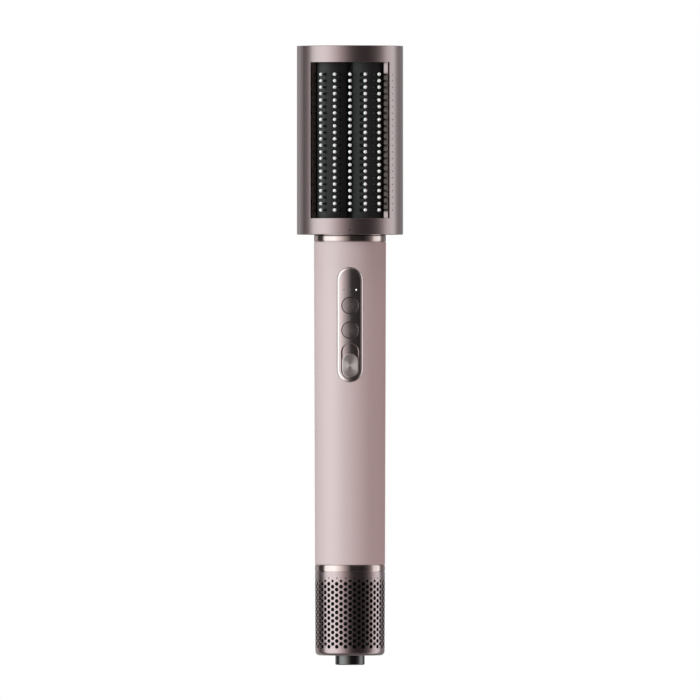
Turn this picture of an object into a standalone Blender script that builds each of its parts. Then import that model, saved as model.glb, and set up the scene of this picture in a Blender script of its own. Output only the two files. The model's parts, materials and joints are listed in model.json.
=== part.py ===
"""Hot air brush: a slim handle with a blower and heater inside, and a lift-off round brush head.

Frame: +Z runs up the handle to the head, the controls and the bristle window face -Y, and the
origin is the bottom centre of the cord gland. Sizes below are millimetres; MM turns them to metres.
"""

import math

import bmesh
import bpy
from mathutils import Matrix, Vector

MM = 0.001
GAP = 0.3                       # left between two pieces that touch
FINE = 48                       # facets round a visible turned piece
COARSE = 20                     # facets round a small or hidden one

# Handle
HANDLE_BOTTOM = 55.6
HANDLE_TOP = 235.1
HANDLE_BOTTOM_R = 19.45
HANDLE_TOP_R = 20.0
HANDLE_INNER_R = 17.8
EDGE = 0.3
LOWER_RING = (52.0, 55.3)
UPPER_RING = (235.4, 238.7)
UPPER_RING_INNER_R = 15.0

# Controls, from the front face of the handle inwards (-Y is out)
PANEL_WIDTH = 14.4
PANEL = (157.1, 220.8)
PANEL_PROUD = 0.15
PANEL_INNER_R = 18.2
LED_HEIGHT = 208.3
LED_SPACING = 3.4
LED_HOLE_R = 0.95
LED_R = 0.6
BUTTON_HEIGHTS = {"lower": 185.9, "upper": 199.6}
BUTTON_R = 4.4
BUTTON_HOLE_R = 4.9
BUTTON_FRONT = -20.25
BUTTON_BACK = -17.7
TRACK_WIDTH = 9.8
TRACK = (159.2, 178.6)
KNOB_WIDTH = 8.8
KNOB = (159.7, 172.9)
KNOB_FRONT = -20.6
KNOB_BACK = -19.0
STEM_BACK = -16.4
STEM_HALF_WIDTH = 1.4
STEM_HALF_HEIGHT = 2.5
SLIDE_TRAVEL = 5.0
SWITCH_FRONT = -16.2
SWITCH_BACK = -15.0
BOARD_FRONT = -14.7
BOARD_BACK = -13.5
BOARD = (154.0, 223.0)

# Air path
DUCT_R = 12.6
DUCT_WALL = 0.8
DUCT_TOP = 230.0
DUCT_BOTTOM = 115.0
SPACER_R = 17.5
LEAD_R = 0.8
LEAD_RADIUS = 16.4
LEAD_ANGLE = math.radians(45.0)
HEATER = (130.0, 200.0)
FORMER_HALF_WIDTH = 8.6
FORMER_THICKNESS = 0.8
COIL_R = 9.7
COIL_WIRE_R = 0.5
COIL_TURNS = 7
COIL_POINTS_PER_TURN = 10
SPIGOT_R = 14.5
SPIGOT_INNER_R = 12.9
SPIGOT_TOP = 245.9
SPIGOT_FLANGE = (231.0, 235.0)

# Motor
SHROUD_R = 15.0
SHROUD_INNER_R = 14.0
SHROUD = (66.0, 114.0)
SHAFT_R = 1.5
SHAFT = (70.0, 112.0)
SHAFT_HOLE_R = SHAFT_R + GAP
BEARING_R = 4.2
REAR_BEARING = (71.0, 74.0)
FRONT_BEARING = (108.0, 111.0)
STATOR = (78.0, 94.0)
STATOR_R = 11.5
STATOR_INNER_R = 8.9
MAGNET_R = 8.3
IMPELLER = (98.0, 105.0)
IMPELLER_R = 13.2
BLADES = 7

# Intake
CAGE_TOP = 51.7
CAGE_BOTTOM = 5.3
CAGE_TOP_R = 19.42
CAGE_BOTTOM_R = 19.2
CAGE_INNER_R = 18.1
CAGE_HOLE_R = 8.8
CAGE_LIP_R = 16.5
CAGE_FLOOR = 1.7
CAGE_COLUMNS = 12
CAGE_ROWS = 4
FRAME_R = 17.4
FILTER_R = 16.9
FILTER_INNER_R = 16.2
GLAND_R = 8.15
GLAND_BORE_R = 4.0
NECK_R = 6.1
NECK_TOP = 16.0

# Brush head
HEAD_R = 29.5
HEAD_INNER_R = 27.6
HEAD_BOTTOM = 239.0
HEAD_TOP = 343.8
HEAD_EDGE = 0.5
LINER_R = 27.3
LINER_INNER_R = 25.6
LINER = (242.5, 340.6)
WINDOW = (248.0, 334.5)
WINDOW_HALF_ANGLE = math.asin(22.0 / HEAD_R)
SOCKET_R = 20.6
SOCKET_INNER_R = 18.2
SOCKET_TOP = 245.9
SHOULDER = (244.0, SOCKET_TOP)
SEAL = (246.2, 247.0)
BAYONET = (239.2, 243.6)
BAYONET_R = 16.8
BAYONET_INNER_R = 14.9
LUG_R = 18.7
LUG_WIDTH = 4.0
LUG_ANGLES = (30, 150, 270)
SCREW_ANGLES = (90, 210, 330)
SCREW_CIRCLE_R = 23.5

# Bristle bed and bristles
BED = (247.3, 336.0)
BED_HALF_WIDTH = 18.3
BED_BACK = -13.5
LOBE_CENTRE = (9.4, -7.5)
LOBE_R = 13.0
LOBE_STEPS = 8
BED_SLOT = (250.4, 331.4)
CENTRE_SLOT_HALF = 1.4
STRIP_THICKNESS = 1.4
STRIP = (250.8, 331.0)
STRIP_ANGLE = 18.0
STRIP_SPANS = {-2: (16.9, 23.7), -1: (14.3, 20.8), 0: (13.8, 16.8), 1: (14.3, 20.8), 2: (16.9, 23.7)}
BRISTLE_ROWS = 22
BRISTLE_FIRST = 252.9
BRISTLE_PITCH = 3.578
BRISTLE_TIP_R = 28.5
BRISTLE_ROOT = 0.6
BRISTLE_END = 1.2


def empty_the_file():
    for thing in list(bpy.data.objects):
        bpy.data.objects.remove(thing)


def collection(name):
    made = bpy.data.collections.new(name)
    bpy.context.scene.collection.children.link(made)
    return made


empty_the_file()
PARTS = collection("hot_air_brush")
CUTTERS = collection("cutters")
CUTTERS.hide_render = True


def finish(name, colour, roughness, metallic=0.0):
    """A Principled material; the colour is linear RGB."""
    made = bpy.data.materials.new(name)
    made.use_nodes = True
    shader = made.node_tree.nodes["Principled BSDF"]
    shader.inputs["Base Color"].default_value = (*colour, 1.0)
    shader.inputs["Roughness"].default_value = roughness
    shader.inputs["Metallic"].default_value = metallic
    made.diffuse_color = (*colour, 1.0)
    return made


PINK = finish("satin_paint", (0.56, 0.45, 0.45), 0.35)
ROSE = finish("rose_metallic_paint", (0.43, 0.34, 0.35), 0.25, 0.8)
CHROME = finish("polished_rose_chrome", (0.80, 0.72, 0.71), 0.08, 1.0)
GLOSS = finish("gloss_panel", (0.42, 0.36, 0.36), 0.15, 0.6)
BLACK = finish("black_plastic", (0.02, 0.02, 0.022), 0.45)
BRISTLE = finish("bristle_nylon", (0.03, 0.03, 0.03), 0.4)
STEEL = finish("steel", (0.55, 0.55, 0.56), 0.3, 1.0)
COPPER = finish("copper", (0.75, 0.38, 0.22), 0.35, 1.0)
BOARD_GREEN = finish("circuit_board", (0.02, 0.14, 0.06), 0.5)
MICA = finish("mica", (0.60, 0.52, 0.38), 0.6)
RUBBER = finish("rubber", (0.03, 0.03, 0.03), 0.7)
CLEAR = finish("light_guide", (0.85, 0.85, 0.85), 0.15)
GREY = finish("grey_plastic", (0.14, 0.14, 0.145), 0.5)


def place(name, mesh, material, shade=False):
    """Puts a mesh, made in millimetres, in the parts collection under a name."""
    mesh.transform(Matrix.Scale(MM, 4))
    made = bpy.data.objects.new(name, mesh)
    PARTS.objects.link(made)
    if material:
        mesh.materials.append(material)
    if shade:
        mesh.shade_smooth()
    return made


def turned(name, profile, material, steps=COARSE, solid=False):
    """Turns (radius, height) points about Z. The profile runs down the outer side, then up the inner."""
    mesh = bpy.data.meshes.new(name)
    edges = [(i, i + 1) for i in range(len(profile) - 1)]
    if not solid:
        edges.append((len(profile) - 1, 0))
    mesh.from_pydata([(r, 0.0, z) for r, z in profile], edges, [])
    made = place(name, mesh, material)
    screw = made.modifiers.new("turn", "SCREW")
    screw.steps = steps
    screw.render_steps = steps
    screw.use_merge_vertices = True
    screw.merge_threshold = 0.00001
    screw.use_smooth_shade = True
    return made


def tube(name, outer_r, inner_r, span, material, steps=COARSE):
    low, high = span
    corners = [(outer_r, high), (outer_r, low), (inner_r, low), (inner_r, high)]
    return turned(name, corners, material, steps)


def disc(name, radius, span, material, steps=COARSE):
    low, high = span
    return turned(name, [(0, high), (radius, high), (radius, low), (0, low)], material, steps, True)


def block(name, x, y, z, material):
    """A box between the given pairs of coordinates."""
    mesh = bpy.data.meshes.new(name)
    shape = bmesh.new()
    middle = Vector((sum(x), sum(y), sum(z))) / 2
    size = Matrix.Diagonal((x[1] - x[0], y[1] - y[0], z[1] - z[0], 1.0))
    bmesh.ops.create_cube(shape, size=1.0, matrix=Matrix.Translation(middle) @ size)
    shape.to_mesh(mesh)
    shape.free()
    return place(name, mesh, material)


def rods(name, rows, material, segments=COARSE):
    """Round rods in one mesh, each (start, end, start radius, end radius)."""
    mesh = bpy.data.meshes.new(name)
    shape = bmesh.new()
    for start, end, start_r, end_r in rows:
        run = Vector(end) - Vector(start)
        turn = Vector((0, 0, 1)).rotation_difference(run).to_matrix().to_4x4()
        where = Matrix.Translation((Vector(start) + Vector(end)) / 2) @ turn
        bmesh.ops.create_cone(shape, cap_ends=True, segments=segments, radius1=start_r,
                              radius2=end_r, depth=run.length, matrix=where)
    shape.to_mesh(mesh)
    shape.free()
    return place(name, mesh, material)


def as_mesh(curve_object, material):
    """Replaces a curve object by the mesh it makes, with its caps welded on."""
    name = curve_object.name
    bpy.context.view_layer.update()
    evaluated = curve_object.evaluated_get(bpy.context.evaluated_depsgraph_get())
    mesh = bpy.data.meshes.new_from_object(evaluated)
    bpy.data.objects.remove(curve_object)
    shape = bmesh.new()
    shape.from_mesh(mesh)
    bmesh.ops.remove_doubles(shape, verts=shape.verts, dist=0.001)
    bmesh.ops.recalc_face_normals(shape, faces=shape.faces)
    shape.to_mesh(mesh)
    shape.free()
    mesh.materials.clear()
    return place(name, mesh, material)


def outline(name, points, thickness, material):
    """A flat outline in XY, extruded about its own plane."""
    curve = bpy.data.curves.new(name, "CURVE")
    curve.dimensions = "2D"
    curve.fill_mode = "BOTH"
    curve.extrude = thickness / 2
    spline = curve.splines.new("POLY")
    spline.points.add(len(points) - 1)
    for point, (x, y) in zip(spline.points, points):
        point.co = (x, y, 0.0, 1.0)
    spline.use_cyclic_u = True
    made = bpy.data.objects.new(name, curve)
    PARTS.objects.link(made)
    return as_mesh(made, material)


def wire(name, points, radius, material):
    """A round wire along a list of points, with six sides."""
    curve = bpy.data.curves.new(name, "CURVE")
    curve.dimensions = "3D"
    curve.bevel_depth = radius
    curve.bevel_resolution = 1
    curve.use_fill_caps = True
    spline = curve.splines.new("POLY")
    spline.points.add(len(points) - 1)
    for point, where in zip(spline.points, points):
        point.co = (*where, 1.0)
    made = bpy.data.objects.new(name, curve)
    PARTS.objects.link(made)
    return as_mesh(made, material)


def stadium(width, height, steps=8):
    """The outline of an upright slot with round ends, about the origin."""
    radius = width / 2
    rise = height / 2 - radius
    top = [(radius * math.cos(math.pi * i / steps), rise + radius * math.sin(math.pi * i / steps))
           for i in range(steps + 1)]
    return top + [(-x, -y) for x, y in top]


def upright(name, points, y, middle, material):
    """An outline stood up to face -Y, between two depths, centred at a height."""
    made = outline(name, points, y[1] - y[0], material)
    made.rotation_euler = (math.pi / 2, 0, 0)
    made.location = (0, (y[0] + y[1]) / 2 * MM, middle * MM)
    return made


def helper(cutter):
    """Moves an object among the cutters, out of the model."""
    PARTS.objects.unlink(cutter)
    CUTTERS.objects.link(cutter)
    cutter.hide_render = True
    cutter.display_type = "WIRE"
    return cutter


def combine(target, other, operation="DIFFERENCE"):
    step = target.modifiers.new(operation.lower(), "BOOLEAN")
    step.operation = operation
    step.solver = "EXACT"
    step.object = other
    return target


def cut(target, *cutters):
    for cutter in cutters:
        combine(target, helper(cutter) if cutter.name in PARTS.objects else cutter)
    return target


def join(target, *others):
    for other in others:
        combine(target, helper(other), "UNION")
    return target


def sub_empty(name, x, y, z):
    """An empty on a joint's axis, which carries the pieces that move with it."""
    made = bpy.data.objects.new(name, None)
    made.location = (x * MM, y * MM, z * MM)
    made.empty_display_size = 0.01
    PARTS.objects.link(made)
    return made


def carry(parent, *children):
    for child in children:
        child.parent = parent
        child.matrix_parent_inverse = Matrix.Translation(-parent.location)


def around(radius, degrees, z=0.0):
    """A point on a circle round Z, counted anticlockwise from +X."""
    angle = math.radians(degrees)
    return (radius * math.cos(angle), radius * math.sin(angle), z)


def handle_r(z):
    share = (z - HANDLE_BOTTOM) / (HANDLE_TOP - HANDLE_BOTTOM)
    return HANDLE_BOTTOM_R + share * (HANDLE_TOP_R - HANDLE_BOTTOM_R)


def make_handle():
    profile = [
        (HANDLE_TOP_R - EDGE, HANDLE_TOP), (HANDLE_TOP_R, HANDLE_TOP - EDGE),
        (HANDLE_BOTTOM_R, HANDLE_BOTTOM + EDGE), (HANDLE_BOTTOM_R - EDGE, HANDLE_BOTTOM),
        (HANDLE_INNER_R, HANDLE_BOTTOM), (HANDLE_INNER_R, HANDLE_TOP),
    ]
    shell = turned("handle_shell", profile, PINK, FINE)
    pocket = stadium(PANEL_WIDTH + 2 * GAP, PANEL[1] - PANEL[0] + 2 * GAP)
    cut(shell, upright("panel_pocket", pocket, (-25, -14), sum(PANEL) / 2, None))
    low, high = LOWER_RING
    tube("lower_ring", HANDLE_BOTTOM_R - 0.03, HANDLE_INNER_R, (low, high), CHROME, FINE)
    tube("upper_ring", HANDLE_TOP_R, UPPER_RING_INNER_R, UPPER_RING, CHROME, FINE)


def make_control_panel():
    low, high = PANEL[0] - 2, PANEL[1] + 2
    profile = [(handle_r(high) + PANEL_PROUD, high), (handle_r(low) + PANEL_PROUD, low),
               (PANEL_INNER_R, low), (PANEL_INNER_R, high)]
    panel = turned("control_panel", profile, GLOSS, FINE)
    edge = stadium(PANEL_WIDTH, PANEL[1] - PANEL[0])
    shape = upright("panel_outline", edge, (-25, -14), sum(PANEL) / 2, None)
    combine(panel, helper(shape), "INTERSECT")
    leds = [((x, -25, LED_HEIGHT), (x, -14, LED_HEIGHT), LED_HOLE_R, LED_HOLE_R)
            for x in (-LED_SPACING, 0, LED_SPACING)]
    cut(panel, rods("led_holes", leds, None, 8))
    holes = [((0, -25, z), (0, -14, z), BUTTON_HOLE_R, BUTTON_HOLE_R)
             for z in BUTTON_HEIGHTS.values()]
    cut(panel, rods("button_holes", holes, None, COARSE))
    track = stadium(TRACK_WIDTH, TRACK[1] - TRACK[0])
    cut(panel, upright("track_opening", track, (-25, -14), sum(TRACK) / 2, None))


def make_light_guide():
    back = -16.6
    guide = block("led_light_guide", (-4.2, 4.2), (back - 0.2, -15.8), (207.6, 209.0), CLEAR)
    pins = [((x, back + 0.3, LED_HEIGHT), (x, -20.05, LED_HEIGHT), LED_R, LED_R)
            for x in (-LED_SPACING, 0, LED_SPACING)]
    join(guide, rods("led_pins", pins, CLEAR, 6))


def make_buttons():
    for side, height in BUTTON_HEIGHTS.items():
        rim, depth = 0.4, BUTTON_BACK - BUTTON_FRONT
        profile = [(0, depth), (BUTTON_R - rim, depth), (BUTTON_R, depth - rim), (BUTTON_R, 0), (0, 0)]
        cap = turned(f"{side}_button", profile, GLOSS, COARSE, True)
        cap.rotation_euler = (math.pi / 2, 0, 0)
        cap.location = (0, BUTTON_BACK * MM, height * MM)
        half = 2.5
        switch = block(f"{side}_tact_switch", (-half, half), (SWITCH_FRONT, SWITCH_BACK),
                       (height - half, height + half), BLACK)
        plunger = [((0, SWITCH_FRONT + 0.3, height), (0, SWITCH_FRONT - 0.6, height), 1.4, 1.4)]
        join(switch, rods(f"{side}_plunger", plunger, BLACK, 8))


def make_slider():
    middle = sum(KNOB) / 2
    knob = upright("power_slider", stadium(KNOB_WIDTH, KNOB[1] - KNOB[0]), (KNOB_FRONT, KNOB_BACK),
                   middle, GLOSS)
    stem = block("slider_stem", (-STEM_HALF_WIDTH, STEM_HALF_WIDTH), (KNOB_BACK - 0.4, STEM_BACK),
                 (middle - STEM_HALF_HEIGHT, middle + STEM_HALF_HEIGHT), GLOSS)
    join(knob, stem)
    plate = block("track_plate", (-4.6, 4.6), (-17.0, -16.6), (158.0, 180.0), BLACK)
    slot = block("track_slot", (-STEM_HALF_WIDTH - 0.4, STEM_HALF_WIDTH + 0.4), (-18, -15),
                 (middle - STEM_HALF_HEIGHT - 0.4, middle + STEM_HALF_HEIGHT + SLIDE_TRAVEL + 0.4), None)
    cut(plate, slot)
    block("slide_switch", (-3, 3), (SWITCH_FRONT, SWITCH_BACK), (158.5, 179.5), BLACK)


def make_boards():
    block("control_board", (-6, 6), (BOARD_FRONT, BOARD_BACK), BOARD, BOARD_GREEN)
    block("ioniser", (-4, 4), (13.3, 16.3), (165, 185), BLACK)
    board = tube("driver_board", 13.5, 3.5, (60.5, 62.0), BOARD_GREEN)
    chips = [block(f"driver_chip_{n}", (x, x + 4), (-4.5, 3.5), (61.5, 64.5), BLACK)
             for n, x in enumerate((-11, 6))]
    join(board, *chips)


def make_air_path():
    inner = DUCT_R - DUCT_WALL
    flare = 7.0
    turned("air_duct", [
        (DUCT_R, DUCT_TOP), (DUCT_R, DUCT_BOTTOM + flare), (SHROUD_R, DUCT_BOTTOM),
        (SHROUD_R - DUCT_WALL, DUCT_BOTTOM), (inner, DUCT_BOTTOM + flare), (inner, DUCT_TOP),
    ], GREY, 24)
    hole = DUCT_R + GAP
    channel = lead_channel()
    cut(tube("lower_duct_spacer", SPACER_R, hole, (146, 150), GREY), channel)
    tube("upper_duct_spacer", SPACER_R, hole, (225.0, 228.6), GREY)
    cut(tube("rear_motor_mount", SPACER_R, SHROUD_R + GAP, (68, 73), RUBBER), channel)
    cut(tube("front_motor_mount", SPACER_R, SHROUD_R + GAP, (106, 111), RUBBER), channel)
    low, high = SPIGOT_FLANGE
    turned("outlet_spigot", [
        (SPIGOT_R, SPIGOT_TOP), (SPIGOT_R, high), (SPACER_R, high), (SPACER_R, low),
        (SPIGOT_INNER_R, low), (SPIGOT_INNER_R, SPIGOT_TOP),
    ], BLACK, 32)
    grid = tube("outlet_grid", 12.6, 11.4, (242, 244), STEEL)
    bars = [block(f"grid_bar_{n}", (-12, 12), (y - 0.5, y + 0.5), (242.2, 243.8), STEEL)
            for n, y in enumerate((-6, 0, 6))]
    for bar, reach in zip(bars, (10.2, 12.0, 10.2)):
        bar.scale.x = reach / 12
    join(grid, *bars)


def lead_channel():
    """The notch that the control lead runs up through, shared by each ring it passes."""
    made = block("lead_channel", (LEAD_RADIUS - 1.4, LEAD_RADIUS + 3), (-1.5, 1.5), (55, 155), None)
    made.rotation_euler = (0, 0, -LEAD_ANGLE)
    return made


def make_leads():
    x, y = LEAD_RADIUS * math.cos(LEAD_ANGLE), -LEAD_RADIUS * math.sin(LEAD_ANGLE)
    rising = [(x, y, z) for z in (64, 85, 105, 125, 145, 151)]
    wire("control_lead", rising + [(x - 1.6, y - 0.8, 154), (x - 4.0, y - 2.0, 157)], LEAD_R, RUBBER)
    centre = [(0, 0, 17.5), (0.3, 0, 24), (1.5, 0, 32), (3.4, 0, 40), (4.6, 0, 47), (5, 0, 59.5)]
    wire("supply_lead", centre, 1.5, RUBBER)


def make_heater():
    low, high = HEATER
    half, thick = FORMER_HALF_WIDTH, FORMER_THICKNESS / 2
    former = block("heater_former", (-half, half), (-thick, thick), HEATER, MICA)
    join(former, block("heater_former_cross", (-thick, thick), (-half, half), HEATER, MICA))
    count = COIL_TURNS * COIL_POINTS_PER_TURN
    rise = (high - low - 10) / count
    coil = []
    for i in range(count + 1):
        angle = 2 * math.pi * i / COIL_POINTS_PER_TURN
        coil.append((COIL_R * math.cos(angle), COIL_R * math.sin(angle), low + 5 + i * rise))
    wire("heater_coil", coil, COIL_WIRE_R, STEEL)
    rods("thermal_fuse", [((4.2, 4.2, 178), (4.2, 4.2, 190), 1.4, 1.4)], STEEL, 12)
    block("thermostat", (-5.8, -2.4), (2.4, 5.8), (176, 190), BLACK)


def spokes(name, count, inner_r, outer_r, span, thickness, material, tilt=0.0):
    """Flat arms round Z, each its own block, for joining to a hub."""
    made = []
    for n in range(count):
        arm = block(f"{name}_{n}", (inner_r, outer_r), (-thickness / 2, thickness / 2),
                    (-(span[1] - span[0]) / 2, (span[1] - span[0]) / 2), material)
        arm.rotation_euler = (tilt, 0, 2 * math.pi * n / count)
        arm.location = (0, 0, sum(span) / 2 * MM)
        made.append(arm)
    return made


def make_motor():
    tube("motor_shroud", SHROUD_R, SHROUD_INNER_R, SHROUD, GREY, 24)
    stator = tube("motor_stator", STATOR_R, STATOR_INNER_R, STATOR, COPPER)
    reach = SHROUD_INNER_R - GAP
    join(stator, *spokes("stator_pole", 4, 10, reach - 0.2, STATOR, 4, COPPER))
    for end, bearing in (("rear", REAR_BEARING), ("front", FRONT_BEARING)):
        tube(f"{end}_bearing", BEARING_R, SHAFT_HOLE_R, bearing, STEEL)
        low, high = bearing
        bridge = tube(f"{end}_bearing_bridge", 6.0, BEARING_R + GAP, (low - 0.5, high + 0.5), STEEL)
        join(bridge, *spokes(f"{end}_bridge_arm", 3, 5.4, reach - 0.2, bearing, 2, STEEL))
    shaft = disc("rotor_shaft", SHAFT_R, SHAFT, STEEL, 12)
    magnet = tube("rotor_magnet", MAGNET_R, SHAFT_HOLE_R, (STATOR[0] + 1, STATOR[1] - 1), STEEL)
    fan = tube("impeller", 4.5, SHAFT_HOLE_R, IMPELLER, BLACK)
    low, high = IMPELLER
    join(fan, *spokes("blade", BLADES, 4.0, IMPELLER_R - 0.4, (low + 1.5, high - 1.5), 0.9, BLACK, 0.7))
    carry(sub_empty("rotor_axis", 0, 0, SHAFT[0]), shaft, magnet, fan)


def make_intake():
    cage = turned("filter_cage", [
        (CAGE_TOP_R, CAGE_TOP), (CAGE_BOTTOM_R, CAGE_BOTTOM + 2.3), (18.5, CAGE_BOTTOM + 0.65),
        (16.9, CAGE_BOTTOM), (CAGE_LIP_R, CAGE_BOTTOM), (CAGE_LIP_R, CAGE_BOTTOM + CAGE_FLOOR),
        (CAGE_INNER_R, CAGE_BOTTOM + 3.2), (CAGE_INNER_R, CAGE_TOP),
    ], STEEL, FINE)
    plate = tube("cage_end_plate", CAGE_LIP_R - GAP, CAGE_HOLE_R,
                 (CAGE_BOTTOM, CAGE_BOTTOM + CAGE_FLOOR), STEEL, 32)
    step = (CAGE_TOP - CAGE_BOTTOM - 14) / (CAGE_ROWS - 1)
    holes = []
    for column in range(CAGE_COLUMNS):
        for row in range(CAGE_ROWS):
            z = CAGE_BOTTOM + 6.5 + step * row + (step / 2 if column % 2 else 0) * (row < CAGE_ROWS - 1)
            turn = 360 * column / CAGE_COLUMNS + 3.75
            holes.append((around(16, turn, z), around(22, turn, z), 2.2, 2.2))
    cut(cage, rods("cage_holes", holes, None, 4))
    frame = tube("rear_frame", FRAME_R, NECK_R + GAP, (9.6, 12.2), GREY, 24)
    collar = tube("frame_collar", FRAME_R, 12.0, (49.6, 58.5), GREY, 24)
    posts = [rods(f"frame_post_{n}", [(around(13.7, turn, 11), around(13.7, turn, 51), 1.5, 1.5)], GREY, 6)
             for n, turn in enumerate((90, 210, 330))]
    join(frame, collar, *posts)
    tube("filter_sleeve", FILTER_R, FILTER_INNER_R, (12.6, 49.2), STEEL, 24)
    carry(sub_empty("cage_axis", 0, 0, CAGE_BOTTOM), cage, plate)


def make_gland():
    gland = turned("cord_gland", [
        (NECK_R, NECK_TOP), (NECK_R, 9.2), (GLAND_R, 9.2), (GLAND_R, 0.6), (GLAND_R - 0.6, 0),
        (GLAND_BORE_R, 0), (GLAND_BORE_R, NECK_TOP),
    ], RUBBER, 24)
    clip = tube("gland_clip", 9.0, NECK_R + GAP, (12.6, 14.2), STEEL)
    carry(sub_empty("gland_axis", 0, 0, 0), gland, clip)


def make_bayonet():
    ring = tube("bayonet_ring", BAYONET_R, BAYONET_INNER_R, BAYONET, BLACK, 24)
    for n, turn in enumerate(LUG_ANGLES):
        lug = block(f"lug_{n}", (BAYONET_R - 1, LUG_R), (-LUG_WIDTH / 2, LUG_WIDTH / 2), (240.2, 242.8),
                    BLACK)
        lug.rotation_euler = (0, 0, math.radians(turn))
        join(ring, lug)
    carry(sub_empty("twist_axis", 0, 0, BAYONET[0]), ring)


def window_cutter():
    """A wedge that opens the head at the front, with its sides along radii of the head."""
    reach = 70
    side = (reach * math.sin(WINDOW_HALF_ANGLE), -reach * math.cos(WINDOW_HALF_ANGLE))
    wedge = outline("window_wedge", [(0, 0), (-side[0], side[1]), side], WINDOW[1] - WINDOW[0], None)
    wedge.location = (0, 0, sum(WINDOW) / 2 * MM)
    return wedge


def make_head():
    window = window_cutter()
    shell = turned("head_shell", [
        (HEAD_R - HEAD_EDGE, HEAD_TOP), (HEAD_R, HEAD_TOP - HEAD_EDGE), (HEAD_R, HEAD_BOTTOM + HEAD_EDGE),
        (HEAD_R - HEAD_EDGE, HEAD_BOTTOM), (HEAD_INNER_R, HEAD_BOTTOM), (HEAD_INNER_R, HEAD_TOP),
    ], ROSE, FINE)
    cut(shell, window)
    flange_r = 21.2
    liner = turned("head_liner", [
        (LINER_R, LINER[1]), (LINER_R, LINER[0]), (flange_r, LINER[0]), (flange_r, LINER[0] + 3.5),
        (LINER_INNER_R, LINER[0] + 3.5), (LINER_INNER_R, LINER[1]),
    ], BLACK, FINE)
    holes = [(around(SCREW_CIRCLE_R, turn, 237), around(SCREW_CIRCLE_R, turn, 249), 1.7, 1.7)
             for turn in SCREW_ANGLES]
    screw_holes = rods("screw_holes", holes, None, 10)
    cut(liner, window, screw_holes)
    cap = disc("head_cap", LINER_R, (LINER[1] + GAP, HEAD_TOP), ROSE, FINE)
    base = turned("head_base", [
        (SOCKET_R, SOCKET_TOP), (SOCKET_R, 242.2), (LINER_R, 242.2), (LINER_R, HEAD_BOTTOM),
        (SOCKET_INNER_R, HEAD_BOTTOM), (SOCKET_INNER_R, SHOULDER[0]), (15.1, SHOULDER[0]),
        (15.1, SOCKET_TOP),
    ], BLACK, 32)
    sinks = [(around(SCREW_CIRCLE_R, turn, 237), around(SCREW_CIRCLE_R, turn, 240.9), 2.8, 2.8)
             for turn in SCREW_ANGLES]
    cut(base, screw_holes, rods("screw_sinks", sinks, None, 12))
    for n, turn in enumerate(LUG_ANGLES):
        groove = block(f"groove_{n}", (16, LUG_R + 0.5), (-LUG_WIDTH / 2 - GAP, LUG_WIDTH / 2 + GAP),
                       (237, BAYONET[1]), None)
        groove.rotation_euler = (0, 0, math.radians(turn))
        cut(base, groove)
    seal = tube("head_seal", 17.8, 13.4, SEAL, RUBBER)
    pieces = [shell, liner, cap, base, seal]
    for n, turn in enumerate(SCREW_ANGLES):
        x, y, _ = around(SCREW_CIRCLE_R, turn)
        profile = [(0, 246.4), (1.3, 246.4), (1.3, 240.6), (2.4, 240.6), (2.4, 239.3), (0, 239.3)]
        screw = turned(f"head_screw_{n + 1}", profile, STEEL, 10, True)
        screw.location = (x * MM, y * MM, 0)
        pieces.append(screw)
    return pieces


def lobe_outline():
    """Two convex lobes side by side, flat behind."""
    x0, y0 = LOBE_CENTRE
    first = math.acos((CENTRE_SLOT_HALF - x0) / LOBE_R)
    last = math.acos((BED_HALF_WIDTH - x0) / LOBE_R)
    right = []
    for i in range(LOBE_STEPS + 1):
        angle = first + (last - first) * i / LOBE_STEPS
        right.append((x0 + LOBE_R * math.cos(angle), y0 - LOBE_R * math.sin(angle)))
    right.append((BED_HALF_WIDTH, BED_BACK))
    return right + [(-x, y) for x, y in reversed(right)]


def make_bristles():
    bed = outline("bristle_bed", lobe_outline(), BED[1] - BED[0], BLACK)
    bed.location = (0, 0, sum(BED) / 2 * MM)
    cut(bed, block("centre_slot", (-CENTRE_SLOT_HALF, CENTRE_SLOT_HALF), (-30, -8), BED_SLOT, None))
    pieces = [bed]
    for place_in_row, (back, front) in STRIP_SPANS.items():
        turn = math.radians(STRIP_ANGLE * place_in_row)
        if place_in_row:
            half = STRIP_THICKNESS / 2 + GAP
            slot = block(f"strip_slot_{place_in_row}", (-half, half), (-32, -10), BED_SLOT, None)
            slot.rotation_euler = (0, 0, turn)
            cut(bed, slot)
        strip = block(f"bristle_strip_{place_in_row + 3}", (-STRIP_THICKNESS / 2, STRIP_THICKNESS / 2),
                      (-front, -back), STRIP, BRISTLE)
        heights = [BRISTLE_FIRST + BRISTLE_PITCH * row for row in range(BRISTLE_ROWS)]
        pins = [((0, -front + 0.5, z), (0, -BRISTLE_TIP_R, z), BRISTLE_ROOT, BRISTLE_END) for z in heights]
        bristles = rods(f"bristles_{place_in_row + 3}", pins, BRISTLE, 4)
        join(strip, bristles)
        bristles.rotation_euler = (0, 0, turn)
        strip.rotation_euler = (0, 0, turn)
        pieces.append(strip)
    clamp = block("bristle_clamp", (-15, 15), (-13.1, -11.8), (248, 334), GREY)
    for side in (-1, 1):
        x = sorted((side * 1.8, side * 3.8))
        cut(clamp, block(f"clamp_slot_{side + 2}", x, (-15, -10), (252, 330), None))
    pieces.append(clamp)
    return pieces


make_handle()
make_control_panel()
make_light_guide()
make_buttons()
make_slider()
make_boards()
make_air_path()
make_leads()
make_heater()
make_motor()
make_intake()
make_gland()
make_bayonet()
carry(sub_empty("head_axis", 0, 0, HEAD_BOTTOM), *make_head(), *make_bristles())
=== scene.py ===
# %% [markdown]
# # A hot air brush in Blender
# This lesson dresses a CAD model of a hot air brush: a slim pink handle with a control panel and a
# perforated intake cage, and a round lift-off head with a window of ball-tipped bristles. A piece may
# be given a better material, or be replaced by a finer mesh that rides on the same moving body.

# %% Load the frame
import json
import math

import bmesh
import bpy
from mathutils import Matrix, Vector


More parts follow.
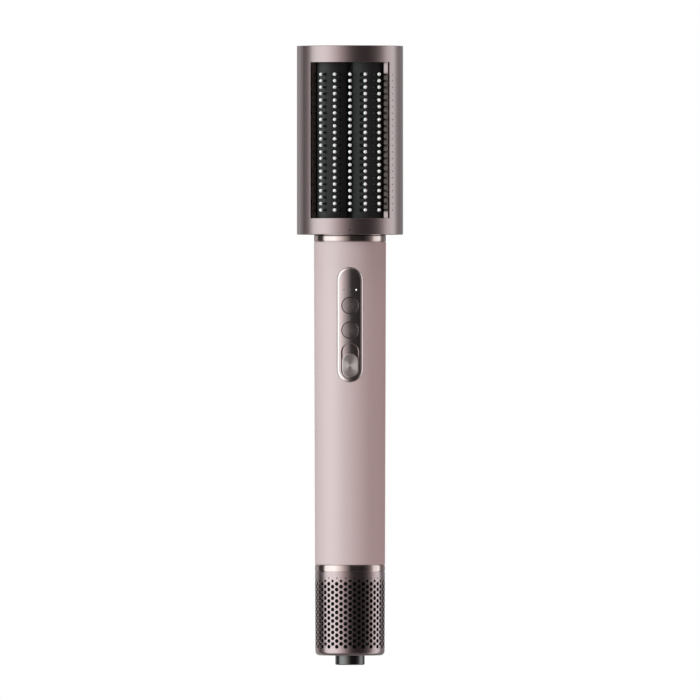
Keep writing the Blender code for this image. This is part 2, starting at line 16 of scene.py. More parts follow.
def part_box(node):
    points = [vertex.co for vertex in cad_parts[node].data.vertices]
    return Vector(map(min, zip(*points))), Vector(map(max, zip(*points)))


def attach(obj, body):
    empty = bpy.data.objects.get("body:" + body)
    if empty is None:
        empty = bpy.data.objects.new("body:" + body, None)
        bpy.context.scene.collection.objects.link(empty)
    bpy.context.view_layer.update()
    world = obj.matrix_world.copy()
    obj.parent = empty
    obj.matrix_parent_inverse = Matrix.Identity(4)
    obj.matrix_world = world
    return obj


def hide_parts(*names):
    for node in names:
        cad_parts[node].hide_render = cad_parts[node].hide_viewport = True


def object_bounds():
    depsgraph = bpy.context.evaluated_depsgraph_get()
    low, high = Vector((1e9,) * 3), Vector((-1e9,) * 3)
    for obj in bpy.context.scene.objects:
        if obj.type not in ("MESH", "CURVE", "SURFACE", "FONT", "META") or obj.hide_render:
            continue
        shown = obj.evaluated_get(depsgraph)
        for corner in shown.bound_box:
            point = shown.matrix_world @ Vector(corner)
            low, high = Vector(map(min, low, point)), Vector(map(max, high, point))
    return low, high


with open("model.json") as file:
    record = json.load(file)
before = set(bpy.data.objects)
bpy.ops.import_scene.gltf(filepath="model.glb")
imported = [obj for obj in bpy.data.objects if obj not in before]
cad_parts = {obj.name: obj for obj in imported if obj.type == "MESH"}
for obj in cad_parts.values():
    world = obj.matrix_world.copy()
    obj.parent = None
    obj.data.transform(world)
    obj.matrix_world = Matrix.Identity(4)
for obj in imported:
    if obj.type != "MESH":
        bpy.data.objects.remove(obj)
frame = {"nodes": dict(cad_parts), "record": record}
cad_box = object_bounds()
MM = 0.001

# %% [markdown]
# ## Small tools
# Most pieces of this brush are turned: a profile of radius and height goes once round the Z axis.
# A real moulding has no sharp corners, so the profile's corners are rounded first with short arcs. A
# few tenths of a millimetre are enough to catch a bright line.


# %% Turning and rounding
STRAIGHT = math.radians(175)    # a corner flatter than this stays as it is


def rounded(points, radii, steps=3):
    """A closed (radius, height) outline in millimetres with each corner rounded by its own radius."""
    made = []
    for i, (point, radius) in enumerate(zip(points, radii)):
        here = Vector(point)
        before = (Vector(points[i - 1]) - here).normalized()
        after = (Vector(points[(i + 1) % len(points)]) - here).normalized()
        spread = before.angle(after)
        if radius <= 0 or spread > STRAIGHT:
            made.append(tuple(here))
            continue
        reach = radius / math.tan(spread / 2)
        centre = here + (before + after).normalized() * radius / math.sin(spread / 2)
        start, end = here + before * reach - centre, here + after * reach - centre
        for n in range(steps + 1):
            made.append(tuple(centre + start.slerp(end, n / steps) * radius))
    return made


def shown(name, data):
    """An object in the scene that shows a mesh, a light or a camera."""
    made = bpy.data.objects.new(name, data)
    bpy.context.scene.collection.objects.link(made)
    return made


def new_piece(name, shape, material, sharp=40):
    """Makes an object from a bmesh in millimetres, with its normals outward and round parts smooth."""
    bmesh.ops.remove_doubles(shape, verts=shape.verts, dist=0.0005)
    bmesh.ops.recalc_face_normals(shape, faces=shape.faces)
    mesh = bpy.data.meshes.new(name)
    shape.to_mesh(mesh)
    shape.free()
    mesh.transform(Matrix.Scale(MM, 4))
    if material:
        mesh.materials.append(material)
    mesh.shade_smooth()
    mesh.set_sharp_from_angle(angle=math.radians(sharp))
    return shown(name, mesh)


def spin(shape, outline, segments, start=0.0, sweep=2 * math.pi, closed=True):
    """Turns an outline about Z into a bmesh, over a full circle or part of one."""
    verts = [shape.verts.new(Matrix.Rotation(start, 3, "Z") @ Vector((r, 0, z))) for r, z in outline]
    edges = [shape.edges.new(pair) for pair in zip(verts, verts[1:])]
    if closed:
        edges.append(shape.edges.new((verts[-1], verts[0])))
    bmesh.ops.spin(shape, geom=verts + edges, cent=(0, 0, 0), axis=(0, 0, 1), angle=sweep,
                   steps=segments, use_duplicate=False)


def turned(name, outline, material, segments=160):
    """A closed outline turned once round Z."""
    shape = bmesh.new()
    spin(shape, outline, segments)
    return new_piece(name, shape, material)


print("turning tools ready")

# %% [markdown]
# A Boolean cuts holes and pockets, and a bevel breaks sharp edges, as moulding does. Each tool applies
# its modifier at once. A cut also spoils the normals beside it, which a mirror-like finish would show,
# so the last tool makes them afresh.


# %% Cutting, bevelling and fresh normals
def settle(piece):
    """Applies the piece's modifiers, so that its mesh is final."""
    graph = bpy.context.evaluated_depsgraph_get()
    done = bpy.data.meshes.new_from_object(piece.evaluated_get(graph))
    piece.modifiers.clear()
    piece.data = done


def carve(piece, cutter, operation="DIFFERENCE"):
    """Cuts a piece with another mesh, and throws the cutter away."""
    step = piece.modifiers.new("carve", "BOOLEAN")
    step.operation = operation
    step.solver = "EXACT"
    step.object = cutter
    settle(piece)
    bpy.data.objects.remove(cutter)


def soften(piece, width, segments=2, angle=40):
    """Breaks a piece's sharp edges with a small bevel, width in millimetres."""
    step = piece.modifiers.new("soften", "BEVEL")
    step.width = width * MM
    step.segments = segments
    step.limit_method = "ANGLE"
    step.angle_limit = math.radians(angle)
    step.harden_normals = True
    settle(piece)


def forget_normals(mesh, angle):
    """Takes off stored normals, so that only edges sharper than an angle in degrees look sharp."""
    if "custom_normal" in mesh.attributes:
        mesh.attributes.remove(mesh.attributes["custom_normal"])
    mesh.shade_smooth()
    mesh.set_sharp_from_angle(angle=math.radians(angle))


def reshade(piece, angle=35):
    """Fresh normals after a cut: sharp edges stay sharp, and large faces stay flat up to their bevels."""
    forget_normals(piece.data, angle)
    step = piece.modifiers.new("weigh", "WEIGHTED_NORMAL")
    step.keep_sharp = True
    settle(piece)


print("cutting tools ready")

# %% [markdown]
# The panel's pieces, the jambs and the bed are flat outlines given a thickness. Lists of points that
# are extruded keep every edge exact.


# %% Outlines, slabs and handing over
def stadium(width, height, steps):
    """The outline of an upright slot with round ends, about its centre."""
    radius = width / 2
    rise = height / 2 - radius
    arc = [math.pi * i / steps for i in range(steps + 1)]
    top = [(radius * math.cos(a), rise + radius * math.sin(a)) for a in arc]
    return top + [(-x, -y) for x, y in top]


def extruded(points, along):
    """A bmesh of a flat outline of points, pushed along a vector into a solid."""
    shape = bmesh.new()
    face = shape.faces.new([shape.verts.new(point) for point in points])
    run = bmesh.ops.extrude_face_region(shape, geom=[face])
    moved = [v for v in run["geom"] if isinstance(v, bmesh.types.BMVert)]
    bmesh.ops.translate(shape, verts=moved, vec=along)
    return shape


def slab(name, outline, back, front, height, material=None):
    """An outline in X and Z stood up to face -Y, from one depth to another, about a height."""
    points = [(x, back, height + z) for x, z in outline]
    return new_piece(name, extruded(points, (0, front - back, 0)), material)


def circle(radius, steps):
    """The outline of a disc, about its centre."""
    return [(radius * math.cos(2 * math.pi * i / steps), radius * math.sin(2 * math.pi * i / steps))
            for i in range(steps)]


def extent(node):
    """A CAD node's lowest and highest corners, in millimetres."""
    low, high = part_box(node)
    return low / MM, high / MM


def middle_of(node):
    """The height of a CAD node's middle, in millimetres."""
    low, high = extent(node)
    return (low.z + high.z) / 2


def fit(piece, body, slot, *nodes):
    """Hands a finished piece to its moving body and hides the CAD nodes it stands for. The slot is not used.
    """
    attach(piece, body)
    if nodes:
        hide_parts(*nodes)
    print(f"{piece.name}: {len(piece.data.polygons)} faces on {body}")


print("outline tools ready")

# %% [markdown]
# ## Camera and light
# The brush stands upright, seen level and from far away, as through a very long lens. Its metal head is
# read from reflections alone, so the studio has two halves. What metal mirrors is the world: a broad
# soft light at the left, darkness in front, a narrower light at the right, each fading slowly. What
# shades the matt pieces is a set of large area lights that mirrors don't see. Kept apart like this,
# each finish gets the light it needs.

# %% Colour and node helpers
def linear(code):
    """A linear RGBA colour from an sRGB hex code."""
    parts = [int(code[i:i + 2], 16) / 255 for i in (1, 3, 5)]
    return [c / 12.92 if c <= 0.04045 else ((c + 0.055) / 1.055) ** 2.4 for c in parts] + [1.0]


def add(tree, kind, links=None, **settings):
    """Adds a shader node. Links map an input to another node's output, or to a plain value."""
    made = tree.nodes.new("ShaderNode" + kind)
    for name, value in settings.items():
        setattr(made, name, value)
    for name, source in (links or {}).items():
        if isinstance(source, bpy.types.NodeSocket):
            tree.links.new(source, made.inputs[name])
        else:
            made.inputs[name].default_value = source
    return made


print("mid grey is", round(linear("#808080")[0], 3), "in linear light")

# %% The camera, level with the middle of the brush
FRAME_HEIGHT = 388.9            # millimetres of the picture at the brush
CAMERA_DISTANCE = 12.0          # metres
CAMERA_RISE = 3.0               # millimetres above the middle of the brush
SENSOR_WIDTH = 36.0
low, high = cad_box
camera_data = bpy.data.cameras.new("camera")
camera = shown("camera", camera_data)
camera_data.sensor_width = SENSOR_WIDTH
camera_data.lens = SENSOR_WIDTH * CAMERA_DISTANCE / (FRAME_HEIGHT * MM)
camera.location = (0, -CAMERA_DISTANCE, high.z / 2 + CAMERA_RISE * MM)
camera.rotation_euler = (math.pi / 2, 0, 0)
bpy.context.scene.camera = camera
bpy.context.scene.view_settings.view_transform = "Standard"
print("lens", round(camera_data.lens), "mm")


# %% What the metal mirrors: bands of light round the brush
# Azimuths are counted from the camera, in degrees, positive to the right.
BANDS = [(-180, 0.35), (-153, 0.35), (-148, 0.55), (-130, 0.45), (-121, 0.05), (-99, 0.10), (-89, 1.90),
         (-77, 2.12), (-52, 2.2), (-28, 1.15), (-18, 0.65), (-4, 0.22), (3, 0.05), (42, 0.03),
         (50, 0.05), (62, 0.12), (75, 0.38), (86, 1.35), (110, 1.80), (122, 0.25), (138, 0.25),
         (150, 0.30), (180, 0.35)]
BRIGHTEST = 2.4
COOL = (0.87, 1.0, 1.0)         # the brightest light is a little cooler than the rest
LIGHT_ABOVE, LIGHT_BELOW = 0.17, 0.09
CAP_STARTS, CAP_FULL = 0.45, 0.90   # how steeply up or down a reflection must point to see them

world = bpy.data.worlds.new("studio")
bpy.context.scene.world = world
world.use_nodes = True
world.cycles_visibility.diffuse = False
sky = world.node_tree
sky.nodes.clear()
where = add(sky, "TexCoord")
axes = add(sky, "SeparateXYZ", {"Vector": where.outputs["Generated"]})
ahead = add(sky, "Math", {0: axes.outputs["Y"], 1: -1.0}, operation="MULTIPLY")
turn = add(sky, "Math", {0: axes.outputs["X"], 1: ahead.outputs[0]}, operation="ARCTAN2")
share = add(sky, "MapRange", {"Value": turn.outputs[0], "From Min": -math.pi, "From Max": math.pi})
bands = add(sky, "ValToRGB", {"Fac": share.outputs["Result"]})
stops = bands.color_ramp.elements
while len(stops) < len(BANDS):
    stops.new(0.5)
for stop, (azimuth, level) in zip(stops, BANDS):
    stop.position = (azimuth + 180) / 360
    cool = max(0.0, min(1.0, (level - 1.0) / 0.8))
    stop.color = [level / BRIGHTEST * (1 + cool * (c - 1)) for c in COOL] + [1.0]
bands.color_ramp.interpolation = "LINEAR"
lit = bands.outputs["Color"]
for side, level in ((1.0, LIGHT_ABOVE), (-1.0, LIGHT_BELOW)):
    rise = add(sky, "MapRange", {"Value": axes.outputs["Z"], "From Min": CAP_STARTS * side,
                                 "From Max": CAP_FULL * side}, interpolation_type="SMOOTHSTEP")
    lit = add(sky, "Mix", {0: rise.outputs["Result"], 6: lit, 7: (level, level, level, 1.0)},
              data_type="RGBA").outputs[2]
mirrored = add(sky, "Background", {"Color": lit, "Strength": BRIGHTEST})
plain = add(sky, "Background", {"Color": linear("#ffffff"), "Strength": 1.0})
ray = add(sky, "LightPath")
chosen = add(sky, "MixShader", {0: ray.outputs["Is Camera Ray"], 1: mirrored.outputs[0],
                                2: plain.outputs[0]})
add(sky, "OutputWorld", {"Surface": chosen.outputs[0]})
print(len(BANDS), "stops of light round the brush, the brightest", max(level for _, level in BANDS))


# %% What shades the matt pieces: large area lights that mirrors don't see
AIM_HEIGHT = 0.19               # metres


def soft_light(name, azimuth, distance, width, height, power, lift=0.28, colour="#ffffff"):
    """An area light aimed at the brush from an azimuth, distance, size and lift in metres."""
    data = bpy.data.lights.new(name, "AREA")
    data.shape = "RECTANGLE"
    data.size, data.size_y = width, height
    data.energy = power
    data.color = linear(colour)[:3]
    lamp = shown(name, data)
    turn = math.radians(azimuth)
    lamp.location = (distance * math.sin(turn), -distance * math.cos(turn), lift)
    aim = Vector((0, 0, AIM_HEIGHT)) - lamp.location
    lamp.rotation_euler = aim.to_track_quat("-Z", "Y").to_euler()
    lamp.visible_glossy = False
    print(f"{name}: {power} W at {azimuth} degrees")


soft_light("key", -47, 1.0, 0.5, 0.9, 12.4, colour="#ecffff")
soft_light("fill", 72, 1.0, 0.5, 0.9, 4.4, colour="#fff6f4")
soft_light("back", 180, 1.2, 0.8, 0.9, 7.0)
soft_light("top", 0, 0.05, 1.2, 1.2, 9.0, lift=1.4)

# %% [markdown]
# The floor is a disc of matt paint that fades out, so that no horizon shows. It lies just below the
# pulled-off cage's lowest reach, so nothing sinks into it. From underneath the disc is clear.

# %% A pale floor that fades out
FLOOR_RADIUS = 300.0            # millimetres
FLOOR_ALPHA = 0.6
FADE_FROM, FADE_TO = 0.05, FLOOR_RADIUS * MM * 0.9
FLOOR_GAP = 0.002               # metres below the pulled-off cage
shape = bmesh.new()
bmesh.ops.create_circle(shape, cap_ends=True, segments=96, radius=FLOOR_RADIUS)
floor_paint = bpy.data.materials.new("pale_floor")
floor_paint.use_nodes = True
tree = floor_paint.node_tree
matt = tree.nodes["Principled BSDF"]
matt.inputs["Base Color"].default_value = linear("#fbfafa")
matt.inputs["Roughness"].default_value = 0.8
place = add(tree, "TexCoord")
span = add(tree, "VectorMath", {0: place.outputs["Object"]}, operation="LENGTH")
fade = add(tree, "MapRange", {"Value": span.outputs["Value"], "From Min": FADE_FROM,
                              "From Max": FADE_TO, "To Min": FLOOR_ALPHA, "To Max": 0.0},
           interpolation_type="SMOOTHSTEP")
facing = add(tree, "NewGeometry")
upper = add(tree, "Math", {0: 1.0, 1: facing.outputs["Backfacing"]}, operation="SUBTRACT")
seen = add(tree, "Math", {0: fade.outputs["Result"], 1: upper.outputs[0]}, operation="MULTIPLY")
tree.links.new(seen.outputs[0], matt.inputs["Alpha"])
floor = new_piece("floor", shape, floor_paint)
travel_of = {joint["name"]: joint.get("range_m") for joint in frame["record"]["behaviour"]["joints"]}
floor.location.z = low.z - travel_of["cage_pull"][1] - FLOOR_GAP
floor.visible_glossy = False
print("floor at", round(floor.location.z / MM, 1), "mm")

# %% [markdown]
# ## Finishes
# Every finish starts from what the real surface is. The handle is ABS under a satin soft-feel paint:
# a dielectric with a fine orange peel. The head is sprayed with a metallic rose lacquer: flakes lie
# nearly flat in it, so it reflects like blurred metal. The trim rings are plated and polished, pure
# mirror. The panel is a metallised gloss moulding, and its buttons are spun. A pattern could be painted
# as an image, but a noise of a real size looks the same from every side.


# %% A finish with a fine surface
COAT_ROUGHNESS = 0.12


def finish(name, colour, roughness, metallic=0.0, ior=1.5, grain_mm=None, bump=0.0, mottle=0.0,
           coat=0.0, rough_swing=0.0):
    """A Principled material. The grain is a noise of a real size that lifts, tints and dulls."""
    made = bpy.data.materials.new(name)
    made.use_nodes = True
    tree = made.node_tree
    shader = tree.nodes["Principled BSDF"]
    shader.inputs["Base Color"].default_value = linear(colour)
    shader.inputs["Roughness"].default_value = roughness
    shader.inputs["Metallic"].default_value = metallic
    if not metallic:
        shader.inputs["IOR"].default_value = ior
    shader.inputs["Coat Weight"].default_value = coat
    shader.inputs["Coat Roughness"].default_value = COAT_ROUGHNESS
    if grain_mm:
        place = add(tree, "TexCoord")
        grain = add(tree, "TexNoise", {"Vector": place.outputs["Object"],
                                       "Scale": 1 / (grain_mm * MM), "Detail": 3.0})
        lift = add(tree, "Bump", {"Height": grain.outputs["Fac"], "Strength": bump,
                                  "Distance": grain_mm * MM * 0.2})
        tree.links.new(lift.outputs["Normal"], shader.inputs["Normal"])
        if mottle:
            base = linear(colour)
            dark = [c * (1 - mottle) for c in base[:3]] + [1.0]
            pale = [min(1.0, c * (1 + mottle)) for c in base[:3]] + [1.0]
            tint = add(tree, "Mix", {0: grain.outputs["Fac"], 6: dark, 7: pale}, data_type="RGBA")
            tree.links.new(tint.outputs[2], shader.inputs["Base Color"])
        if rough_swing:
            dull = add(tree, "MapRange", {"Value": grain.outputs["Fac"], "To Min": roughness - rough_swing,
                                          "To Max": roughness + rough_swing})
            tree.links.new(dull.outputs["Result"], shader.inputs["Roughness"])
    return made


print("a grain of 0.5 mm is a noise of scale", 1 / (0.5 * MM))

# %% [markdown]
# A spun finish is made on a lathe, whose tool leaves rings too fine to resolve. An anisotropic shader
# stretches each reflection into a bow-tie instead, with a tangent along the radius. The rings' bump
# is drawn coarser than life, at about 0.15 mm, so that it shows.


# %% A spun metal
def spun(name, colour, roughness, stretch, centre, groove_mm):
    """A metal turned about an axis along Y at a height in mm: its reflections stretch along the radius."""
    made = finish(name, colour, roughness, 1.0)
    tree = made.node_tree
    shader = tree.nodes["Principled BSDF"]
    shader.inputs["Anisotropic"].default_value = stretch
    place = add(tree, "TexCoord")
    flat = add(tree, "VectorMath", {0: place.outputs["Object"], 1: (1, 0, 1)}, operation="MULTIPLY")
    away = add(tree, "VectorMath", {0: flat.outputs[0], 1: (0, 0, centre * MM)}, operation="SUBTRACT")
    spoke = add(tree, "VectorTransform", {"Vector": away.outputs[0]}, vector_type="VECTOR",
                convert_from="OBJECT", convert_to="WORLD")
    unit = add(tree, "VectorMath", {0: spoke.outputs[0]}, operation="NORMALIZE")
    tree.links.new(unit.outputs[0], shader.inputs["Tangent"])
    reach = add(tree, "VectorMath", {0: away.outputs[0]}, operation="LENGTH")
    rings = add(tree, "Math", {0: reach.outputs["Value"], 1: 2 * math.pi / (groove_mm * MM)},
                operation="MULTIPLY")
    wave = add(tree, "Math", {0: rings.outputs[0]}, operation="SINE")
    lift = add(tree, "Bump", {"Height": wave.outputs[0], "Strength": 0.12,
                              "Distance": groove_mm * MM * 0.05})
    tree.links.new(lift.outputs["Normal"], shader.inputs["Normal"])
    return made


print("spun finish ready")

# %% Painted, lacquered and plated finishes
# Soft-feel paint on ABS: satin, with an orange peel about 0.5 mm across.
SATIN_PINK = finish("satin_soft_paint", "#d5b5b5", 0.48, ior=1.46, grain_mm=0.5, bump=0.12, mottle=0.02,
                    rough_swing=0.03)
# Metallic lacquer: flakes of 0.02 mm lie flat in it, drawn at 0.12 mm to show, under a clear coat.
ROSE_LACQUER = finish("metallic_rose_lacquer", "#a28a8b", 0.36, 1.0, grain_mm=0.12, bump=0.06,
                      mottle=0.05, coat=1.0, rough_swing=0.03)
# Polished plating over brass: a mirror, with only a faint waviness from the polishing wheel.
PLATED = finish("polished_rose_plating", "#c4aeab", 0.07, 1.0, grain_mm=2.5, bump=0.01, mottle=0.01)
# The same lacquer on smooth jambs is glossier. A darker, duller copy is painted shade: on the left jamb,
# which faces away from the light, and on the right jamb's band of vent slots, which the bristles shade.
JAMB_LACQUER = finish("smooth_jamb_lacquer", "#8d7777", 0.18, 1.0, grain_mm=0.12, bump=0.03, mottle=0.04,
                      coat=1.0, rough_swing=0.02)
# Painted shade: a darker, duller copy of the jamb lacquer.
SHADED_JAMB_LACQUER = finish("dark_vent_lacquer", "#554640", 0.28, 1.0, grain_mm=0.12, bump=0.03, mottle=0.04,
                      coat=0.5, rough_swing=0.02)
# Vacuum-metallised plastic under varnish: a soft mirror.
METALLISED = finish("metallised_panel_gloss", "#cdbab9", 0.17, 1.0, grain_mm=0.2, bump=0.03, mottle=0.02)
# Lacquer over punched steel: a little glossier than the head, so the ribs between the holes sparkle.
CAGE_LACQUER = finish("perforated_metal_lacquer", "#a68d8e", 0.28, 1.0, grain_mm=0.12, bump=0.08,
                      mottle=0.05, coat=1.0, rough_swing=0.04)
# Dark lacquer on the turned gland, a dull mirror.
GUNMETAL = finish("gunmetal_lacquer", "#686363", 0.22, 1.0, grain_mm=0.2, bump=0.04, mottle=0.05,
                  rough_swing=0.03)
print("metal finishes:", ", ".join(m.name for m in bpy.data.materials if "lacquer" in m.name))

# %% Plastics, rubber and ink
# Moulded ABS: spark-eroded texture of about 0.25 mm, which scatters light softly.
BLACK_ABS = finish("moulded_black_abs", "#1b1b1c", 0.42, grain_mm=0.25, bump=0.25, mottle=0.12,
                   rough_swing=0.05)
# Nylon: matt where it carries the bristles, and smoother where it is drawn into a bristle.
BED_NYLON = finish("matt_black_nylon_bed", "#1f1b1b", 0.55, grain_mm=0.35, bump=0.35, mottle=0.15,
                   rough_swing=0.06)
SHAFT_NYLON = finish("black_nylon_bristle", "#121212", 0.35, grain_mm=0.2, bump=0.1, mottle=0.1)
# Cast resin: white and glossy, so that each ball has one sharp highlight.
TIP_RESIN = finish("white_resin_ball_tip", "#f7eeec", 0.25, coat=0.3, grain_mm=0.3, bump=0.03,
                   mottle=0.02)
GREY_ABS = finish("moulded_grey_abs", "#6b6b6d", 0.5, grain_mm=0.3, bump=0.25, mottle=0.06)
# Rubber, soot-black mesh and ink hardly shine at all.
RUBBER = finish("soft_black_rubber", "#2a2a2b", 0.62, grain_mm=0.3, bump=0.2, mottle=0.08)
# Rubber and ink hardly shine at all. The near-black matt finish, which hardly shines either, is painted
# shade for the works seen through the cage's holes.
PAINTED_SHADE_BLACK = finish("blackened_filter_mesh", "#0d0d0d", 0.85, grain_mm=0.6, bump=0.6, mottle=0.3)
INK = finish("printed_black_ink", "#141112", 0.6, grain_mm=0.15, bump=0.05, mottle=0.1)
print("so far", len(bpy.data.materials), "materials")

# %% Finishes of the works inside
# Drawn steel is softly bright, enamelled copper is warm, and mica is dull and flaky.
STEEL = finish("drawn_steel", "#b4b4b7", 0.32, 1.0, grain_mm=0.4, bump=0.15, mottle=0.08,
               rough_swing=0.08)
COPPER = finish("enamelled_copper_windings", "#c07a4c", 0.35, 1.0, grain_mm=0.5, bump=0.5, mottle=0.15)
SOLDER_MASK = finish("green_solder_mask", "#1d5c33", 0.35, grain_mm=0.8, bump=0.1, mottle=0.15)
MICA = finish("pressed_mica_sheet", "#b9a988", 0.55, grain_mm=0.8, bump=0.3, mottle=0.2)
FROSTED = finish("frosted_light_guide", "#e9e7e4", 0.3, ior=1.49, grain_mm=0.2, bump=0.05, mottle=0.02)
print(len(bpy.data.materials), "finishes")

# %% [markdown]
# ## Pieces that stay as CAD
# Everything inside keeps its CAD mesh, as little of it ever shows. Each piece gets the finish that its
# material slot asks for, but those right behind the cage's holes get a near-black finish instead: painted
# shade, because shade makes every hole look black.

# %% Finishes for the CAD nodes
BY_SLOT = {
    "satin_paint": SATIN_PINK, "rose_paint": ROSE_LACQUER, "polished_ring": PLATED,
    "panel_gloss": METALLISED, "cage_metal": CAGE_LACQUER, "black_plastic": BLACK_ABS,
    "bristle_nylon": SHAFT_NYLON, "steel": STEEL, "copper": COPPER, "circuit_board": SOLDER_MASK,
    "mica": MICA, "rubber": RUBBER, "light_guide": FROSTED, "grey_plastic": GREY_ABS,
}
slot_of = {row["node"]: row["material_slot"] for row in frame["record"]["subparts"]}
# Painted shade: these works get a near-black finish in place of their own, so the holes read black.
IN_THE_DARK = ("filter_sleeve", "rear_frame", "cage_end_plate")
for name, node in frame["nodes"].items():
    for holder in node.material_slots:
        holder.material = PAINTED_SHADE_BLACK if name in IN_THE_DARK else BY_SLOT[slot_of[name]]
print(len(frame["nodes"]), "CAD nodes dressed")

# %% [markdown]
# ## The handle
# The real handle is a moulded tube that tapers very slightly towards the cage. It could be one long
# cone, but it is turned in short rows, so that the pocket cut for the control panel disturbs the
# shading only next to the cut.

# %% Handle shell
shell_low, shell_high = extent("handle_shell")
ROW_HEIGHT = 6.0
TAPER = 0.55                    # the grip is this much narrower at its lower end
GRIP_RADIUS = shell_high.x
SKIN = 2.2                      # thickness of the moulding
END_ROUND = 0.35


def grip_radius(z):
    """The handle's radius at a height."""
    return GRIP_RADIUS - TAPER * (shell_high.z - z) / (shell_high.z - shell_low.z)


rows = round((shell_high.z - shell_low.z) / ROW_HEIGHT)
levels = [shell_high.z + (shell_low.z - shell_high.z) * i / rows for i in range(rows + 1)]
outer = [(grip_radius(z), z) for z in levels]
wall = [(GRIP_RADIUS - SKIN, shell_low.z), (GRIP_RADIUS - SKIN, shell_high.z)]
corner_radii = [END_ROUND] + [0] * (rows - 1) + [END_ROUND, 0, 0]
handle = turned("handle_skin", rounded(outer + wall, corner_radii), SATIN_PINK)
panel_low, panel_high = extent("control_panel")
panel_width, panel_height = panel_high.x - panel_low.x, panel_high.z - panel_low.z
panel_middle = middle_of("control_panel")
SEAM = 0.07
POCKET_BACK, POCKET_FRONT = -14, -25
PANEL_STEPS = 40                # points round each end of the panel
pocket_outline = stadium(panel_width + 2 * SEAM, panel_height + 2 * SEAM, PANEL_STEPS)
pocket = slab("pocket", pocket_outline, POCKET_BACK, POCKET_FRONT, panel_middle)
carve(handle, pocket)
reshade(handle, 40)
fit(handle, "handle", "satin_paint", "handle_shell")

# %% [markdown]
# ## Trim rings
# Two plated rings, which would be turned from brass, close the handle's ends. A polished ring shows
# the whole studio in a few millimetres, so its edges are rounded and its wall is perfectly straight.

# %% Polished rings, with a set-back shoulder that closes the seam at each end
SHOULDER = 0.4
REACH = 0.25                    # how far a shoulder goes into the seam, which is 0.3 wide
RING_ROUND = 0.22
RING_INNER = {"upper_ring": 15.0, "lower_ring": 17.8}
for node, inner in RING_INNER.items():
    ring_low, ring_high = extent(node)
    face, back, top, bottom = ring_high.x, ring_high.x - SHOULDER, ring_high.z, ring_low.z
    corners = [(face, top), (face, bottom), (back, bottom), (back, bottom - REACH), (inner, bottom - REACH),
               (inner, top + REACH), (back, top + REACH), (back, top)]
    ring = turned(f"polished_{node}", rounded(corners, [RING_ROUND] * 2 + [0] * 6, 5), PLATED, 256)
    fit(ring, "handle", "polished_ring", node)

# %% [markdown]
# ## The control panel
# The panel, its buttons and the track floor all follow the curve of the grip. Each is first cut flat,
# with its holes and bevels, then sliced into narrow strips and bent round the handle. That order keeps
# the bevels even, and the strips make the curve smooth enough to mirror a light.


# %% Normals of a flat face with bevelled edges, and bending
STRIP_WIDTH = 0.45


def true_normals(piece, face_y, radius_at=None):
    """Keeps a face flat right up to its bevels. With a radius, turns each normal as bending will."""
    mesh = piece.data
    forget_normals(mesh, 50)
    normals = [corner.vector.copy() for corner in mesh.corner_normals]
    for polygon in mesh.polygons:
        for index in polygon.loop_indices:
            at = mesh.vertices[mesh.loops[index].vertex_index].co
            if face_y is not None and abs(at.y - face_y * MM) < 1e-7 and polygon.normal.y < -0.5:
                normals[index] = Vector((0, -1, 0))
            if radius_at:
                turn = math.asin(at.x / MM / radius_at(at.z / MM))
                normals[index] = Matrix.Rotation(turn, 3, "Z") @ normals[index]
    return normals


def bend(piece, proud, face_y=0):
    """Bends a piece made flat, with y = 0 as its face, so that the face stands proud of the grip."""
    shape = bmesh.new()
    shape.from_mesh(piece.data)
    strip = STRIP_WIDTH * MM
    last = int(max(v.co.x for v in shape.verts) / strip)
    for n in range(-last, last + 1):
        everything = shape.verts[:] + shape.edges[:] + shape.faces[:]
        bmesh.ops.bisect_plane(shape, geom=everything, plane_co=(n * strip, 0, 0), plane_no=(1, 0, 0))
    shape.to_mesh(piece.data)
    shape.free()
    normals = true_normals(piece, face_y, lambda z: grip_radius(z) + proud)
    for v in piece.data.vertices:
        radius = (grip_radius(v.co.z / MM) + proud) * MM - v.co.y
        v.co.y = -math.sqrt(radius * radius - v.co.x * v.co.x)
    piece.data.normals_split_custom_set(normals)


print("strips of", STRIP_WIDTH, "mm")

# %% Where the panel's pieces are
upper_middle, lower_middle = middle_of("upper_button"), middle_of("lower_button")
button_radius = extent("upper_button")[1].z - upper_middle
led_height = middle_of("led_light_guide")
LED_X = 3.4
knob_low, knob_high = extent("power_slider")
TRACK_WIDTH, TRACK_HEIGHT = 9.8, 19.4
TRACK_GAP = 0.5                 # below the knob at rest
track_middle = knob_low.z - TRACK_GAP + TRACK_HEIGHT / 2
print("buttons at", round(upper_middle, 1), "and", round(lower_middle, 1), "mm")

# %% Panel with its holes
PANEL_PROUD = 0.50
PANEL_DEPTH = 1.78
BUTTON_GAP = 0.32
CUT_FROM, CUT_TO = 3, -2        # a cutter passes right through a flat sheet
BEZEL = 1.3                     # the rim rounds off to 25 degrees, so both sides catch a light
inset = 2 * BEZEL
panel = slab("panel_face", stadium(panel_width - inset, panel_height - inset, PANEL_STEPS), PANEL_DEPTH,
             0, panel_middle, METALLISED)
for z in (upper_middle, lower_middle):
    carve(panel, slab("hole", circle(button_radius + BUTTON_GAP, 64), CUT_FROM, CUT_TO, z))
carve(panel, slab("track", stadium(TRACK_WIDTH, TRACK_HEIGHT, 32), CUT_FROM, CUT_TO, track_middle))
soften(panel, 0.32, 3)
bend(panel, PANEL_PROUD)
fit(panel, "handle", "panel_gloss", "control_panel")

# %% [markdown]
# The rim of a metallised panel rounds off into its pocket. A bevel is too even for that, so the rim is
# a piece of its own: one loop of points for each step of its curve, joined loop to loop.

